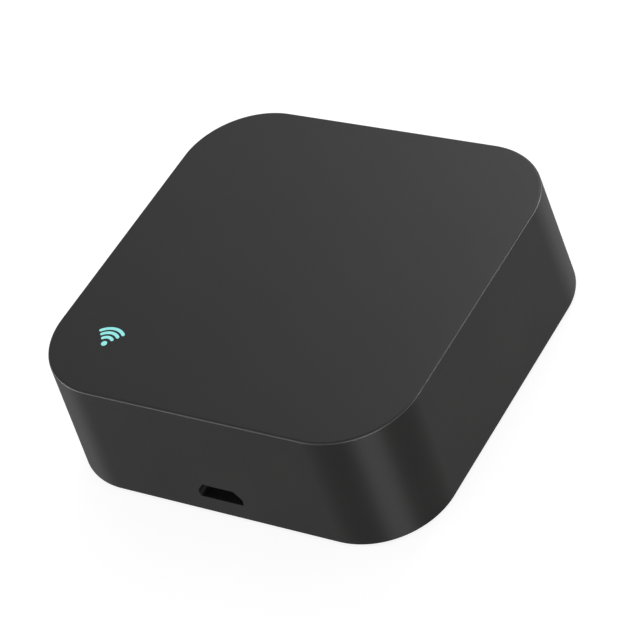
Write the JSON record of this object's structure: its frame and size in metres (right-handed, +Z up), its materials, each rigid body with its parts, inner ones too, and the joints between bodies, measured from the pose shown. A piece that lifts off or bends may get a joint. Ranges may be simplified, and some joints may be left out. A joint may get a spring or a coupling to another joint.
{
  "type": "smart ir blaster",
  "caption": "Square, round-cornered infrared remote hub with drafted sides, a power socket low on one side, a clip-in base cover on rubber feet and a reset button underneath.",
  "frame": {"origin": "centre of the footprint at the bottom of the feet", "axes": "+Z up, out of the top face; -Y out of the side that has the power socket; +X to the right as that side is looked at"},
  "size_m": [0.068, 0.068, 0.0224],
  "materials": {
    "shell_plastic": "fine satin, passes infrared light",
    "cover_plastic": "fine moulded texture",
    "button_plastic": "satin",
    "clear_plastic": "clear, lit",
    "board_laminate": "green solder mask",
    "plated_steel": "plated",
    "tinned_lead": "tinned",
    "gold_plate": "gold flash",
    "bare_aluminium": "satin",
    "black_epoxy": "moulded",
    "chip_ceramic": "fired ceramic",
    "emitter_resin": "clear resin, tinted",
    "foot_rubber": "matte"
  },
  "bodies": {
    "housing": {"upper_shell": "shell_plastic", "base_cover": "cover_plastic", "light_pipe": "clear_plastic", "circuit_board": "board_laminate", "board_screws": "plated_steel", "rubber_foot_1": "foot_rubber", "rubber_foot_2": "foot_rubber", "rubber_foot_3": "foot_rubber", "rubber_foot_4": "foot_rubber", "ir_emitter_1": "emitter_resin", "ir_emitter_2": "emitter_resin", "ir_emitter_3": "emitter_resin", "ir_emitter_4": "emitter_resin", "ir_emitter_5": "emitter_resin", "ir_emitter_6": "emitter_resin", "ir_emitter_7": "emitter_resin", "ir_emitter_leads_1": "tinned_lead", "ir_emitter_leads_2": "tinned_lead", "ir_emitter_leads_3": "tinned_lead", "ir_emitter_leads_4": "tinned_lead", "ir_emitter_leads_5": "tinned_lead", "ir_emitter_leads_6": "tinned_lead", "ir_emitter_leads_7": "tinned_lead", "ir_receiver_body": "black_epoxy", "ir_receiver_shield": "plated_steel", "ir_receiver_leads": "tinned_lead", "radio_module_board": "board_laminate", "radio_module_shield": "plated_steel", "radio_antenna": "gold_plate", "socket_shell": "plated_steel", "socket_insulator": "black_epoxy", "socket_contacts": "gold_plate", "switch_body": "black_epoxy", "switch_cover": "plated_steel", "switch_dome": "gold_plate", "switch_terminals": "tinned_lead", "status_lamp": "clear_plastic", "regulator_body": "black_epoxy", "regulator_leads": "tinned_lead", "capacitor_can": "bare_aluminium", "capacitor_base": "black_epoxy", "transistor_bodies": "black_epoxy", "transistor_leads": "tinned_lead", "chip_resistors": "black_epoxy", "chip_capacitors": "chip_ceramic", "chip_ends": "tinned_lead"},
    "button": {"reset_button": "button_plastic", "switch_plunger": "button_plastic"}
  },
  "joints": [
    {"name": "reset_press", "type": "slide", "parent": "housing", "child": "button", "axis": [0, 0, 1], "range_m": [0, 0.00025], "stiffness_N_per_m": 3000, "springref_m": -0.0004, "deforming": ["switch_dome"]}
  ]
}
